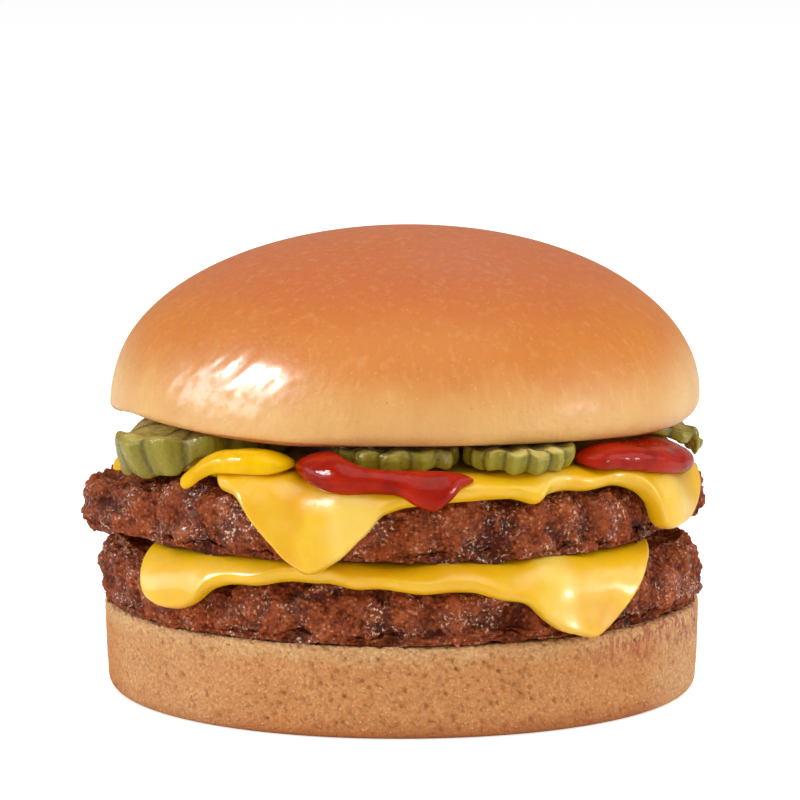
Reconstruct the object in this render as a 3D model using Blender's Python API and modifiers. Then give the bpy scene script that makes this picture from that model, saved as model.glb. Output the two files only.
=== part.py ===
"""A double cheeseburger: bun heel, two beef patties, two melting slices of cheese, crinkle-cut
pickle chips, ketchup, mustard and a bun crown.

The origin is the middle of the heel's flat underside, +Z is up and -Y is the front. Sizes are in
millimetres and become metres where a point is placed. A bearing is an angle in degrees round the
burger, 0 at the front and positive towards +X. A reach is a distance from the axis, measured along
a sheet that may roll over the edge of the patty under it.
"""

import math
from collections import namedtuple

import bpy
from mathutils import Vector, noise

MM = 0.001
GAP = 0.3  # clear space between two pieces that touch in the real burger

# Bun
HEEL_RADIUS = 51.5
HEEL_HEIGHT = 15.5
HEEL_DRAFT = 0.5
HEEL_CORNER = 2.0
HEEL_RIM = 0.9
HEEL_SHIFT = 0.3
CROWN_RADIUS = 50.9
CROWN_HEIGHT = 30.95
CROWN_CORNER = 2.4  # height of the rounded lower edge, up to the widest level
CROWN_CORNER_CHANGE = 1.2  # the corner is this much rounder at +X and this much tighter at -X
CROWN_DOME_POWER = 2.03  # 2 would be an ellipse
CROWN_SHIFT = 0.7
CROWN_LEAN = 2.0  # the top of the dome leans this far to +X
CROWN_TILT = 1.1  # degrees, its +X side lower
CROWN_LEVEL = 48.5  # of the underside, on the crown's axis
CROWN_HEM = (  # how much higher the lower edge lies at a bearing
    (-180, 0.0), (-120, -0.3), (-92, -1.3), (-80, -0.6), (-66, 0.5), (-47, 0.1), (-35, -0.4), (-24, -0.6),
    (-11, -0.1), (0, 0.25), (18, 0.4), (31, 0.3), (42, 0.0), (56, -0.4), (74, -0.3), (100, 0.0),
)
BUN_UNEVENNESS = 0.5
BUN_LUMP_SIZE = 38.0

# Patties: an outline as (bearing, radius), and how much higher the outer part of the top and of the
# underside lie than the level of the middle
PATTY_EDGE = 5.0  # radius of the rolled upper edge
PATTY_UNDER_EDGE = 2.0
CRAG_DEPTH = 2.1
CRAG_LEAST = 0.5  # the craggy skin stays at least this far inside the smooth envelope
CRAG_SIZE = 7.0
Patty = namedtuple("Patty", "bottom top outline rise tuck")
LOWER = Patty(
    bottom=HEEL_HEIGHT + GAP,
    top=27.3,
    outline=(
        (-180, 51.8), (-150, 52.6), (-120, 51.6), (-100, 52.6), (-84, 53.3), (-66, 52.8), (-45, 53.0),
        (-20, 52.8), (5, 53.4), (30, 53.0), (52, 52.6), (66, 53.0), (82, 53.6), (100, 52.6), (125, 51.6),
        (152, 52.5),
    ),
    rise=((-180, 0.0), (-108, 0.0), (-90, 0.8), (-74, 0.7), (-60, 0.0), (47, 0.0), (60, 0.8), (84, 0.8),
          (106, 0.0)),
    tuck=((-180, 0.0), (0, 0.0)),
)
UPPER = Patty(
    bottom=29.8,
    top=41.8,
    outline=(
        (-180, 52.8), (-150, 53.6), (-120, 52.6), (-101, 54.4), (-86, 56.4), (-75, 56.6), (-66, 55.2),
        (-56, 53.8), (-46, 54.0), (-30, 54.4), (-8, 53.4), (12, 54.0), (35, 53.4), (53, 52.8), (66, 52.0),
        (76, 52.8), (88, 54.1), (102, 53.4), (120, 52.4), (150, 53.2),
    ),
    rise=((-180, 0.0), (-140, 0.0), (-127, -0.5), (-112, -3.0), (-92, -3.8), (-74, -3.4),
          (-60, -1.8), (-52, -1.2), (-42, 0.0), (38, 0.0),
          (60, -1.1), (76, -1.6), (100, -1.6), (135, 0.0)),
    tuck=((-180, 0.0), (-110, 0.0), (-92, -1.0), (-76, -0.9), (-64, 0.0), (47, 0.0), (60, 0.8), (84, 0.8),
          (106, 0.0)),
)
SWELL_START = 44.0
SWELL_LENGTH = 6.0

# Cheese: each slice's edge as (bearing, reach)
SLICE_THICKNESS = 2.0
LOWER_SLICE = (
    (-176, 49.5), (-160, 51.0), (-138, 57.5), (-120, 52.0), (-100, 44.5), (-80, 43.0), (-66, 43.0),
    (-57.5, 47.5), (-52.8, 55.0), (-49, 59.2), (-43, 60.1), (-38.5, 58.4), (-35.5, 55.9), (-31, 54.3),
    (-25, 53.0), (-19, 52.4), (-9, 53.3), (0, 54.8), (8, 55.2), (13, 55.0), (18, 56.5), (22, 57.5),
    (26.5, 60.9), (31, 63.3), (36, 63.9), (39.5, 62.9), (42.5, 60.7), (45.5, 57.8), (49, 55.0), (53, 52.4),
    (57, 49.8), (61, 46.5), (68, 43.0), (90, 43.0), (112, 49.0), (128, 55.0), (140, 58.0), (154, 53.0),
)
UPPER_SLICE = (
    (-172, 50.0), (-152, 50.5), (-134, 53.0), (-115, 51.0), (-98, 47.5), (-80, 45.5), (-62, 45.5),
    (-44, 45.5), (-38.5, 46.5), (-36, 50.5), (-34.5, 53.4), (-31.4, 54.8), (-28.2, 57.2), (-25, 60.2),
    (-22.2, 63.2), (-19.6, 65.8), (-16, 67.4), (-11, 65.2), (-6, 60.4), (-2.5, 56.6), (3, 55.6),
    (9, 54.7), (16, 53.9), (20, 54.2), (24.5, 55.8), (28, 53.8), (33, 52.9), (43, 53.1), (48.5, 54.6),
    (51, 56.8), (53.5, 60.6), (57, 61.8), (61, 61.2), (64, 59.9), (67, 58.0), (70.5, 55.4), (75, 52.0),
    (80, 49.0), (88, 46.0), (100, 45.0), (118, 48.0), (140, 53.5), (160, 59.0), (175, 54.0),
)

# What lies on the upper slice sinks to the patty's skin past the slice's edge
ON_SLICE = GAP + SLICE_THICKNESS + 0.5
SINK_START = 2.3
SINK_LENGTH = 3.0
Chip = namedtuple("Chip", "bearing reach width depth thickness wave pitch turn stay")
CHIPS = {  # scallops of one pitch run round the rim, and a chip's top may stay where its underside sinks
    "chip_left": Chip(-58, 38.6, 15.3, 15.3, 3.4, 0.3, 7.4, 8, 1.0),
    "chip_front": Chip(-1, 43.0, 10.6, 7.7, 3.0, 0.25, 5.2, -12, 1.0),
    "chip_middle": Chip(25.3, 46.0, 9.7, 7.9, 2.9, 0.25, 4.6, 16, 1.0),
    "chip_right": Chip(92, 40.8, 12.8, 12.8, 2.1, 0.3, 5.6, 5, 0.0),
    "chip_back_right": Chip(150, 38.0, 14.0, 13.5, 2.3, 0.3, 5.6, -20, 0.3),
    "chip_back_left": Chip(-134, 38.0, 14.0, 13.5, 2.9, 0.3, 5.6, 25, 1.0),
}
SCALLOP = 0.8
CHIP_STIFFNESS = 0.25  # share of the patty's fall that a chip's top doesn't follow
FLARE = 0.7  # how much higher the tops of chips and sauces stand outside the crown's lower edge
FLARE_START = 49.5
FLARE_LENGTH = 2.5
# Sauce: a ribbon through stations of (bearing, inner reach, outer reach, height, level underneath)
RIBBONS = {
    "ketchup_front": (
        (-20.2, 46.0, 52.2, 3.8, 2.8), (-16, 46.0, 53.4, 4.1, 2.8), (-12.5, 47.6, 54.2, 4.1, 2.8),
        (-9.5, 50.0, 54.4, 3.7, 2.8), (-5, 51.3, 54.2, 2.7, 2.8), (-1, 51.4, 54.4, 2.3, 2.8),
        (3, 51.4, 56.2, 2.4, 2.8), (5.7, 51.4, 56.9, 2.4, 2.8), (8.5, 51.4, 55.8, 2.3, 2.8),
        (11, 51.6, 54.0, 2.0, 2.8), (13, 52.0, 53.4, 1.6, 2.8),
    ),
    "ketchup_right": (
        (36.2, 46.6, 52.4, 3.6, 2.8), (39, 46.5, 52.4, 3.7, 2.8), (43, 46.5, 52.0, 3.4, 2.8),
        (48, 46.3, 52.4, 3.3, 2.8), (56, 46.0, 53.0, 3.2, 2.8), (62, 46.0, 53.0, 3.3, 2.8),
        (67, 46.5, 53.0, 3.4, 2.8), (70.5, 48.0, 52.6, 3.2, 2.8),
    ),
    "mustard_ribbon": (
        (-43.6, 51.6, 54.4, 1.8, 0.5), (-42, 50.8, 55.4, 2.2, 0.5), (-40, 49.8, 54.8, 2.4, 0.9),
        (-37.5, 48.8, 53.8, 2.6, 2.0), (-34, 47.4, 53.0, 2.8, 2.8), (-29, 46.3, 52.8, 3.3, 2.8),
        (-24, 46.0, 52.6, 3.3, 2.8), (-20.8, 46.0, 52.2, 3.3, 2.8),
    ),
    "mustard_dab": (
        (-81.5, 47.2, 49.4, 2.2, 0.4), (-78.0, 46.6, 50.2, 2.7, 0.4), (-74.6, 47.2, 49.4, 2.2, 0.4),
    ),
}

COLOURS = {
    "crust": ((0.60, 0.22, 0.055), 0.32),
    "crumb": ((0.60, 0.30, 0.12), 0.78),
    "beef": ((0.10, 0.035, 0.02), 0.42),
    "cheese": ((0.90, 0.50, 0.03), 0.30),
    "pickle": ((0.28, 0.24, 0.05), 0.22),
    "ketchup": ((0.42, 0.02, 0.01), 0.18),
    "mustard": ((0.90, 0.62, 0.01), 0.28),
}


# Curves and places

def ring_curve(points, bearing):
    """A smooth closed curve through (bearing, value) points, with no bump between them."""
    count = len(points)
    bearing = (bearing - points[0][0]) % 360.0
    starts = [(point[0] - points[0][0]) % 360.0 for point in points] + [360.0]
    values = [point[1] for point in points]
    here = max(i for i in range(count) if starts[i] <= bearing)
    slopes = [
        (values[(i + 1) % count] - values[i % count]) / (starts[i % count + 1] - starts[i % count])
        for i in (here - 1, here, here + 1)
    ]
    before, along, after = slopes
    leave = 2 * before * along / (before + along) if before * along > 0 else 0.0
    arrive = 2 * along * after / (along + after) if along * after > 0 else 0.0
    width = starts[here + 1] - starts[here]
    t = (bearing - starts[here]) / width
    start, end = values[here], values[(here + 1) % count]
    return (
        (2 * t**3 - 3 * t**2 + 1) * start + (t**3 - 2 * t**2 + t) * width * leave
        + (3 * t**2 - 2 * t**3) * end + (t**3 - t**2) * width * arrive
    )


def ease(t):
    t = min(max(t, 0.0), 1.0)
    return t * t * (3 - 2 * t)


def place(bearing, radius, height):
    angle = math.radians(bearing)
    return Vector((radius * math.sin(angle), -radius * math.cos(angle), height)) * MM


def swell(patty_change, bearing, reach):
    """How much higher the outer part of a patty's face lies at a bearing, at full height past the
    shoulder."""
    return ring_curve(patty_change, bearing) * ease((reach - SWELL_START) / SWELL_LENGTH)


def lay(patty, bearing, reach, height, middle):
    """A point of a sheet on a patty: flat as far as the patty's shoulder, rolled over its edge, then
    hanging. Height is above the patty's skin, and middle is where the sheet keeps its length."""
    shoulder = ring_curve(patty.outline, bearing) - PATTY_EDGE
    top = patty.top + swell(patty.rise, bearing, reach)
    past = reach - shoulder
    quarter = math.pi / 2 * (PATTY_EDGE + middle)
    if past <= 0:
        return place(bearing, reach, top + height)
    turn = min(past / (PATTY_EDGE + middle), math.pi / 2)
    out = (PATTY_EDGE + height) * math.sin(turn)
    up = (PATTY_EDGE + height) * math.cos(turn) - max(past - quarter, 0.0)
    return place(bearing, shoulder + out, top - PATTY_EDGE + up)


def rest_height(bearing, reach):
    """How high above the upper patty's skin a topping rests: on the slice, or past its edge."""
    edge = max(ring_curve(UPPER_SLICE, bearing + aside) for aside in (-3, 0, 3))
    past = reach - edge - SINK_START
    return ON_SLICE - (ON_SLICE - GAP) * ease(past / SINK_LENGTH)


# Objects

def material(name):
    colour, roughness = COLOURS[name]
    made = bpy.data.materials.new(name)
    made.use_nodes = True
    shader = made.node_tree.nodes["Principled BSDF"]
    shader.inputs["Base Color"].default_value = (*colour, 1)
    shader.inputs["Roughness"].default_value = roughness
    shader.inputs["Metallic"].default_value = 0.0
    return made


def turned(name, profile, steps, shape, finish, group):
    """An object turned from a profile of (radius, height) that runs down its outer side. Then shape
    moves each point, given its radius, its bearing and its height."""
    outline = bpy.data.meshes.new(name + "_profile")
    edges = [(i, i + 1) for i in range(len(profile) - 1)]
    outline.from_pydata([(x * MM, 0, z * MM) for x, z in profile], edges, [])
    lathe = bpy.data.objects.new(name + "_lathe", outline)
    bpy.context.scene.collection.objects.link(lathe)
    screw = lathe.modifiers.new("Screw", "SCREW")
    screw.steps = screw.render_steps = steps
    screw.use_merge_vertices = True
    screw.merge_threshold = 0.00001
    bpy.context.view_layer.update()
    mesh = bpy.data.meshes.new_from_object(lathe.evaluated_get(bpy.context.evaluated_depsgraph_get()))
    bpy.data.objects.remove(lathe)
    for vertex in mesh.vertices:
        x, y, z = vertex.co / MM
        vertex.co = shape(math.hypot(x, y), math.degrees(math.atan2(x, -y)), z)
    mesh.shade_smooth()
    mesh.set_sharp_from_angle(angle=math.radians(50))
    mesh.materials.clear()
    mesh.materials.append(finish)
    made = bpy.data.objects.new(name, mesh)
    group.objects.link(made)
    return made


def arc(centre, radii, start, end, steps):
    """Points (radius, height) on a quarter of an ellipse, angles in degrees up from the outward side."""
    angles = [math.radians(start + (end - start) * i / steps) for i in range(steps + 1)]
    return [(centre[0] + radii[0] * math.cos(a), centre[1] + radii[1] * math.sin(a)) for a in angles]


def uneven(radius, bearing, height, seed):
    """Soft unevenness of the bun, as a change of radius."""
    place_in_noise = place(bearing, radius, height) / MM / BUN_LUMP_SIZE + Vector((seed, 0, 0))
    return BUN_UNEVENNESS * noise.noise(place_in_noise) * ease(radius / HEEL_RADIUS)


# Bun

def heel(finish, group):
    foot = HEEL_RADIUS - HEEL_DRAFT
    profile = [(0, HEEL_HEIGHT), (HEEL_RADIUS * 0.6, HEEL_HEIGHT)]
    profile += arc((HEEL_RADIUS - HEEL_RIM, HEEL_HEIGHT - HEEL_RIM), (HEEL_RIM, HEEL_RIM), 90, 0, 2)
    profile += [(HEEL_RADIUS - HEEL_DRAFT * 0.3, HEEL_HEIGHT * 0.5)]
    profile += arc((foot - HEEL_CORNER, HEEL_CORNER), (HEEL_CORNER, HEEL_CORNER), 0, -90, 3)
    profile += [(0, 0)]

    def shape(radius, bearing, height):
        point = place(bearing, radius + uneven(radius, bearing, height, 3.0), height)
        return point + Vector((HEEL_SHIFT, 0, 0)) * MM

    turned("heel", profile, 56, shape, finish, group)


def crown(finish, group):
    power = 2 / CROWN_DOME_POWER
    profile = []
    for i in range(11):
        turn = math.radians(90 * (1 - i / 11))
        profile.append((CROWN_RADIUS * math.cos(turn) ** power if i else 0.0, 1 + math.sin(turn) ** power))
    rim = arc((CROWN_RADIUS - CROWN_CORNER, 1.0), (CROWN_CORNER, 1.0), 0, -90, 3)
    profile += rim + [(CROWN_RADIUS * 0.55, 0), (0, 0)]
    tilt = math.radians(CROWN_TILT)

    def shape(radius, bearing, level):
        """Level is from 0, underneath, to 1, the widest level, and 2, the top."""
        corner = CROWN_CORNER + CROWN_CORNER_CHANGE * math.sin(math.radians(bearing))
        if level < 1 and radius > CROWN_RADIUS - CROWN_CORNER - 0.01:
            radius = CROWN_RADIUS - (CROWN_RADIUS - radius) * corner / CROWN_CORNER
        height = corner * min(level, 1) + (CROWN_HEIGHT - corner) * max(level - 1, 0)
        radius += uneven(radius, bearing, height, 8.0)
        x, y, z = place(bearing, radius, height) / MM
        x += CROWN_LEAN * (z / CROWN_HEIGHT) ** 4
        z += ring_curve(CROWN_HEM, bearing) * ease((radius - 42) / 8) * (1 - ease(z / 12))
        across = x * math.cos(tilt) + z * math.sin(tilt) + CROWN_SHIFT
        up = z * math.cos(tilt) - x * math.sin(tilt) + CROWN_LEVEL
        return Vector((across, y, up)) * MM

    turned("crown", profile, 52, shape, finish, group)


# Patties

def crag_depth(point, seed):
    """How far the ground-meat skin lies inside the envelope at a point, in millimetres."""
    lumps = noise.noise(point / CRAG_SIZE + Vector((seed, 0, 0)))
    crumbs = noise.noise(point / CRAG_SIZE * 2.3 + Vector((0, seed, 0)))
    return CRAG_LEAST + CRAG_DEPTH * (0.42 + 0.42 * lumps + 0.16 * crumbs)


def beef_patty(name, patty, seed, finish, group):
    normal = patty.outline[0][1]
    shoulder, foot = normal - PATTY_EDGE, normal - PATTY_UNDER_EDGE
    core = normal * 0.6
    thickness = patty.top - patty.bottom
    profile = [(0, thickness), (core, thickness)]
    profile += arc((shoulder, thickness - PATTY_EDGE), (PATTY_EDGE, PATTY_EDGE), 90, 0, 4)
    profile += arc((foot, PATTY_UNDER_EDGE), (PATTY_UNDER_EDGE, PATTY_UNDER_EDGE), 0, -90, 3)
    profile += [(core, 0), (0, 0)]

    def shape(radius, bearing, height):
        sideways = ease((radius - core) / (shoulder - core))
        radius += sideways * (ring_curve(patty.outline, bearing) - normal)
        depth = crag_depth(place(bearing, radius, height) / MM, seed) * sideways
        inwards = 1.0 if abs(height - thickness / 2) < thickness / 2 - 0.01 else 0.3
        upper = ease(height / thickness * 2 - 1)
        lower = ease(1 - height / thickness * 2)
        drop = depth * 0.6 * (upper - lower)
        share = height / thickness
        lift = share * swell(patty.rise, bearing, radius) + (1 - share) * swell(patty.tuck, bearing, radius)
        return place(bearing, radius - depth * inwards, patty.bottom + height + lift - drop)

    turned(name, profile, 80, shape, finish, group)


# Cheese

def cheese_slice(name, patty, edge, finish, group):
    rim = 50.0
    rings = (22, 37, 40.5, 42.5, 44.6, 47, 49.2)
    top, bottom = SLICE_THICKNESS, 0.0
    profile = [(0, top)] + [(ring, top) for ring in rings]
    profile += [(rim, SLICE_THICKNESS * 0.55)]
    profile += [(ring, bottom) for ring in reversed(rings)] + [(0, bottom)]

    def shape(radius, bearing, height):
        stretch = (radius / rim) ** 4
        reach = radius + stretch * (ring_curve(edge, bearing) - rim)
        return lay(patty, bearing, reach, GAP + height, GAP + SLICE_THICKNESS / 2)

    turned(name, profile, 64, shape, finish, group)


# Toppings

def pickle_chip(name, chip, finish, group):
    """A crinkle-cut disc, its ridges running outwards."""
    top, bottom = chip.thickness, 0.0
    rings = (0.45 * chip.width, 0.75 * chip.width, 0.95 * chip.width)
    profile = [(0, top)] + [(ring, top) for ring in rings]
    profile += [(chip.width, top * 0.85), (chip.width, top * 0.15)]
    profile += [(ring, bottom) for ring in reversed(rings)] + [(0, bottom)]

    def shape(radius, bearing, height):
        angle = math.radians(bearing)
        scallops = round(math.pi * chip.width / chip.pitch)
        cut = SCALLOP * (1 - abs(math.cos(scallops * angle))) * ease(radius / chip.width)
        across, outwards = (radius - cut) * math.sin(angle), (radius - cut) * math.cos(angle)
        outwards *= chip.depth / chip.width
        turn = math.radians(chip.turn)
        over_ridges = across * math.cos(turn) + outwards * math.sin(turn)
        ripple = chip.wave * (1 + math.cos(2 * math.pi * over_ridges / chip.pitch))
        x, y = across, chip.reach + outwards
        reach, where = math.hypot(x, y), chip.bearing + math.degrees(math.atan2(x, y))
        middle = ON_SLICE + chip.thickness / 2
        share = chip.stay * height / chip.thickness
        base = rest_height(where, reach) * (1 - share) + ON_SLICE * share
        flare = FLARE * ease((reach - FLARE_START) / FLARE_LENGTH)
        base += share * (flare - CHIP_STIFFNESS * swell(UPPER.rise, where, reach))
        return lay(UPPER, where, reach, base + ripple + height, middle)

    turned(name, profile, 28, shape, finish, group)


def sauce_ribbon(name, stations, steps, finish, group):
    """A domed ribbon of sauce, laid on the slice through its stations."""
    inner, outer, high, under = [[(station[0], station[i]) for station in stations] for i in (1, 2, 3, 4)]
    centre = (stations[0][0] + stations[-1][0]) / 2
    half_span = (stations[-1][0] - stations[0][0]) / 2
    profile = [(0.0, 1.0), (0.5, 0.98), (0.85, 0.8), (1.0, 0.35), (0.94, 0.0), (0.6, 0.0), (0.0, 0.0)]

    def shape(share, angle, height):
        along, across = share * math.sin(math.radians(angle)), share * math.cos(math.radians(angle))
        where = centre + along * half_span
        near, far = ring_curve(inner, where), ring_curve(outer, where)
        narrowed = across / math.sqrt(max(1 - along**2, 0.01)) * math.sqrt(1 - along**6)
        reach = (near + far) / 2 + narrowed * (far - near) / 2
        flare = FLARE * ease((reach - FLARE_START) / FLARE_LENGTH)
        up = ring_curve(under, where) + height * (ring_curve(high, where) + flare)
        return lay(UPPER, where, reach, up, GAP + SLICE_THICKNESS / 2)

    turned(name, profile, steps, shape, finish, group)


def main():
    for old in list(bpy.data.objects):
        bpy.data.objects.remove(old)
    group = bpy.data.collections.new("cheeseburger")
    bpy.context.scene.collection.children.link(group)
    finishes = {name: material(name) for name in COLOURS}
    heel(finishes["crumb"], group)
    beef_patty("lower_patty", LOWER, 11.0, finishes["beef"], group)
    cheese_slice("lower_cheese", LOWER, LOWER_SLICE, finishes["cheese"], group)
    beef_patty("upper_patty", UPPER, 27.0, finishes["beef"], group)
    cheese_slice("upper_cheese", UPPER, UPPER_SLICE, finishes["cheese"], group)
    for name, chip in CHIPS.items():
        pickle_chip(name, chip, finishes["pickle"], group)
    for name, stations in RIBBONS.items():
        steps = 16 if name == "mustard_dab" else 40
        sauce_ribbon(name, stations, steps, finishes[name.split("_")[0]], group)
    crown(finishes["crust"], group)


main()
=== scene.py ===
"""The looks of a double cheeseburger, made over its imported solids: glazed bun crown, toasted heel,
ground-beef patties, melted cheese, crinkle-cut pickle chips, ketchup and mustard.

Sizes are in millimetres and become metres where a point is placed. A bearing is an angle in degrees
round the burger, 0 at the front (-Y) and positive towards +X. A reach is a distance from the axis,
measured along a sheet that may roll over the edge of the patty under it.
"""

import math
from collections import namedtuple

import bpy
import numpy as np
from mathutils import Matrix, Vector, noise


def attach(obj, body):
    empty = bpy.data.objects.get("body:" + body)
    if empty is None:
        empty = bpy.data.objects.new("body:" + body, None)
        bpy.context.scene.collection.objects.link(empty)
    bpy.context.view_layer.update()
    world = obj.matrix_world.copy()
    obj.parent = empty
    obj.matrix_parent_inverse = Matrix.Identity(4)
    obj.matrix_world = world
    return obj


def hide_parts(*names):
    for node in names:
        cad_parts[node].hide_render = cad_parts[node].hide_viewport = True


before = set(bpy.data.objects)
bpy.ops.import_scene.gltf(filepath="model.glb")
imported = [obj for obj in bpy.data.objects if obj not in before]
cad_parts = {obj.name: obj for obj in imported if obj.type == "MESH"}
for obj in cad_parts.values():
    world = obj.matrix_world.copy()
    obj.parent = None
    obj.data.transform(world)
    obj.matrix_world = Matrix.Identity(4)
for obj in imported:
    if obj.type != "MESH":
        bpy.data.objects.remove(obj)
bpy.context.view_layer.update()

MM = 0.001
GAP = 0.3  # between layers that rest on each other

# How many columns of faces go round each kind of piece
HEEL_COLUMNS = 1000
CROWN_COLUMNS = 560
PATTY_COLUMNS = 1000
SLICE_COLUMNS = 900
CHIP_COLUMNS = 220
SAUCE_COLUMNS = 260
DOME_ROWS = 130

# Camera and light
VIEW_HEIGHT = 49.4  # the level that the camera looks at
VIEW_ELEVATION = 8.2  # degrees above level
VIEW_DISTANCE = 900.0
LENS = 234.1  # focal length, for a sensor 36 mm wide
SENSOR_WIDTH = 36.0

# Bun
HEEL_RADIUS = 51.5
HEEL_HEIGHT = 15.5
HEEL_DRAFT = 0.5
HEEL_CORNER = 2.0
HEEL_RIM = 0.9
HEEL_SHIFT = 0.3
CROWN_RADIUS = 50.9
CROWN_HEIGHT = 30.95
CROWN_CORNER = 2.4  # height of the rounded lower edge, up to the widest level
CROWN_CORNER_CHANGE = 1.2  # the corner is this much rounder at +X and this much tighter at -X
CROWN_DOME_POWER = 2.03  # 2 would be an ellipse
CROWN_SHIFT = 0.7
CROWN_LEAN = 2.0  # the top of the dome leans this far to +X
CROWN_TILT = 1.1  # degrees, its +X side lower
CROWN_LEVEL = 48.5  # of the underside, on the crown's axis
CROWN_HEM = (  # how much higher the lower edge lies at a bearing
    (-180, 0.0), (-120, -0.3), (-92, -1.3), (-80, -0.6), (-66, 0.5), (-47, 0.1), (-35, -0.4), (-24, -0.6),
    (-11, -0.1), (0, 0.25), (18, 0.4), (31, 0.3), (42, 0.0), (56, -0.4), (74, -0.3), (100, 0.0),
)
CREASE_LEAST = 0.03  # depth of the creases all over the crown
CREASE_DEPTH = 0.17  # what the glazed spot adds to it
BUN_UNEVENNESS = 0.5
BUN_LUMP_SIZE = 38.0

# Patties: an outline as (bearing, radius), and how much higher the outer part of the top and of the
# underside lie than the level of the middle
PATTY_EDGE = 5.0  # radius of the rolled upper edge
PATTY_UNDER_EDGE = 2.0
CRAG_DEPTH = 2.1
CRAG_LEAST = 0.5  # the craggy skin stays at least this far inside the smooth envelope
CRAG_SIZE = 7.0
MEAT_SAG = 0.6  # how far the meat's lower edge settles into what it lies on
Patty = namedtuple("Patty", "bottom top outline rise tuck")
LOWER = Patty(
    bottom=HEEL_HEIGHT + GAP,
    top=27.3,
    outline=(
        (-180, 51.8), (-150, 52.6), (-120, 51.6), (-100, 52.6), (-84, 53.3), (-66, 52.8), (-45, 53.0),
        (-20, 52.8), (5, 53.4), (30, 53.0), (52, 52.6), (66, 53.0), (82, 53.6), (100, 52.6), (125, 51.6),
        (152, 52.5),
    ),
    rise=((-180, 0.0), (-108, 0.0), (-90, 0.8), (-74, 0.7), (-60, 0.0), (47, 0.0), (60, 0.8), (84, 0.8),
          (106, 0.0)),
    tuck=((-180, 0.0), (0, 0.0)),
)
UPPER = Patty(
    bottom=29.8,
    top=41.8,
    outline=(
        (-180, 52.8), (-150, 53.6), (-120, 52.6), (-101, 54.4), (-86, 56.4), (-75, 56.6), (-66, 55.2),
        (-56, 53.8), (-46, 54.0), (-30, 54.4), (-8, 53.4), (12, 54.0), (35, 53.4), (53, 52.8), (66, 52.0),
        (76, 52.8), (88, 54.1), (102, 53.4), (120, 52.4), (150, 53.2),
    ),
    rise=((-180, 0.0), (-140, 0.0), (-127, -0.5), (-112, -3.0), (-92, -3.8), (-74, -3.4),
          (-60, -1.8), (-52, -1.2), (-42, 0.0), (38, 0.0),
          (60, -1.1), (76, -1.6), (100, -1.6), (135, 0.0)),
    tuck=((-180, 0.0), (-110, 0.0), (-92, -1.0), (-76, -0.9), (-64, 0.0), (47, 0.0), (60, 0.8), (84, 0.8),
          (106, 0.0)),
)
SWELL_START = 44.0
SWELL_LENGTH = 6.0

# Cheese: each slice's edge as (bearing, reach)
SLICE_THICKNESS = 2.0
SLICE_BEAD = 0.5  # how much thicker the melted hem is
SLICE_RIM = 50.0
HEM_WAVE = 1.3
HEM_WAVE_SIZE = 6.5
LOWER_FOLDS = ((-52, 4, 0.25), (-42, 4, -0.25), (30, 5, 0.7), (40, 4, -0.4), (49, 3, 0.5))
UPPER_FOLDS = ((-28, 3.0, 0.4), (-18.5, 3, -0.6), (-9, 4.5, 0.9), (30, 5, 0.4), (58, 4, 0.5), (66, 4, 0.2))
LOWER_SLICE = (
    (-176, 49.5), (-160, 51.0), (-138, 57.5), (-120, 52.0), (-100, 44.5), (-80, 43.0), (-66, 43.0),
    (-57.5, 47.5), (-52.8, 55.0), (-49, 59.2), (-43, 60.1), (-38.5, 58.4), (-35.5, 55.9), (-31, 54.3),
    (-25, 53.0), (-19, 52.4), (-9, 53.3), (0, 54.8), (8, 55.2), (13, 55.0), (18, 56.5), (22, 57.5),
    (26.5, 60.9), (31, 63.3), (36, 63.9), (39.5, 62.9), (42.5, 60.7), (45.5, 57.8), (49, 55.0), (53, 52.4),
    (57, 49.8), (61, 46.5), (68, 43.0), (90, 43.0), (112, 49.0), (128, 55.0), (140, 58.0), (154, 53.0),
)
UPPER_SLICE = (
    (-172, 50.0), (-152, 50.5), (-134, 53.0), (-115, 51.0), (-98, 47.5), (-80, 45.5), (-62, 45.5),
    (-44, 45.5), (-38.5, 46.5), (-36, 50.5), (-34.5, 53.4), (-31.4, 54.8), (-28.2, 57.2), (-25, 60.2),
    (-22.2, 63.2), (-19.6, 65.8), (-16, 67.4), (-11, 65.2), (-6, 60.4), (-2.5, 56.6), (3, 55.6),
    (9, 54.7), (16, 53.9), (20, 54.2), (24.5, 55.8), (28, 53.8), (33, 52.9), (43, 53.1), (48.5, 54.6),
    (51, 56.8), (53.5, 60.6), (57, 61.8), (61, 61.2), (64, 59.9), (67, 58.0), (70.5, 55.4), (75, 52.0),
    (80, 49.0), (88, 46.0), (100, 45.0), (118, 48.0), (140, 53.5), (160, 59.0), (175, 54.0),
)

# What lies on the upper slice sinks to the patty's skin past the slice's edge
ON_SLICE = GAP + SLICE_THICKNESS + 0.5
SINK_START = 2.3
SINK_LENGTH = 3.0
Chip = namedtuple("Chip", "bearing reach width depth thickness wave pitch turn stay")
CHIPS = {  # scallops of one pitch run round the rim, and a chip's top may stay where its underside sinks
    "chip_left": Chip(-58, 38.6, 15.3, 15.3, 3.4, 0.3, 7.4, 8, 1.0),
    "chip_front": Chip(-1, 43.0, 10.6, 7.7, 3.0, 0.25, 5.2, -12, 1.0),
    "chip_middle": Chip(25.3, 46.0, 9.7, 7.9, 2.9, 0.25, 4.6, 16, 1.0),
    "chip_right": Chip(92, 40.8, 12.8, 12.8, 2.1, 0.3, 5.6, 5, 0.0),
    "chip_back_right": Chip(150, 38.0, 14.0, 13.5, 2.3, 0.3, 5.6, -20, 0.3),
    "chip_back_left": Chip(-134, 38.0, 14.0, 13.5, 2.9, 0.3, 5.6, 25, 1.0),
}
SCALLOP = 0.8
CHIP_STIFFNESS = 0.25  # share of the patty's fall that a chip's top doesn't follow
FLARE = 0.7  # how much higher the tops of chips and sauces stand outside the crown's lower edge
FLARE_START = 49.5
FLARE_LENGTH = 2.5
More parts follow.
